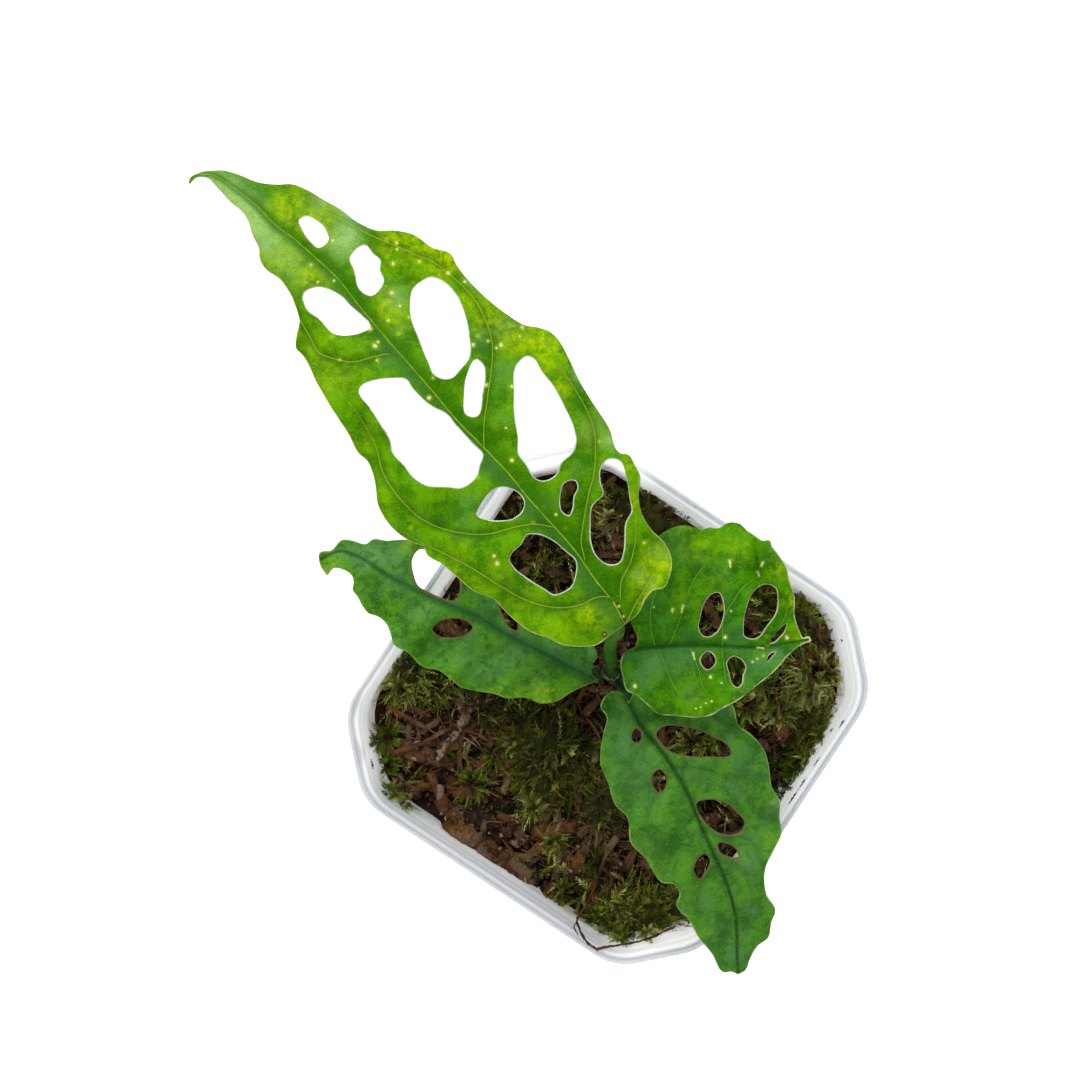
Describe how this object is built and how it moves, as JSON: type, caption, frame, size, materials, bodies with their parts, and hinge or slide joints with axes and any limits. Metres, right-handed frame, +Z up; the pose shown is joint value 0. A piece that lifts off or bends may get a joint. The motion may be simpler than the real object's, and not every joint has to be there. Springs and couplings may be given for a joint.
{
  "type": "potted monstera plant",
  "caption": "Small monstera obliqua with long holed, wavy-edged leaves on a short stem, in bark and moss in a square white plastic pot with cut corners.",
  "frame": {"origin": "middle of the pot's flat underside, on the surface that it stands on", "axes": "+Z up; X and Y along the pot's sides; the long leaf points towards -X"},
  "size_m": [0.1972, 0.1118, 0.1404],
  "materials": {
    "pot_plastic": "satin white, slightly translucent",
    "bark": "rough, damp bark and coir",
    "moss": "tufted, matte",
    "stem": "satin",
    "leaf_yellow_green": "waxy satin",
    "leaf_blue_green": "waxy satin",
    "leaf_bright_green": "waxy satin",
    "leaf_dark_green": "glossy"
  },
  "bodies": {
    "root": {"pot": "pot_plastic", "substrate": "bark", "moss_left": "moss", "moss_centre": "moss", "moss_bottom": "moss", "moss_right": "moss", "moss_corner": "moss", "moss_top": "moss", "moss_middle": "moss", "stem": "stem", "leaf_long": "leaf_yellow_green", "leaf_left": "leaf_blue_green", "leaf_right": "leaf_bright_green", "leaf_front": "leaf_dark_green"}
  },
  "joints": []
}
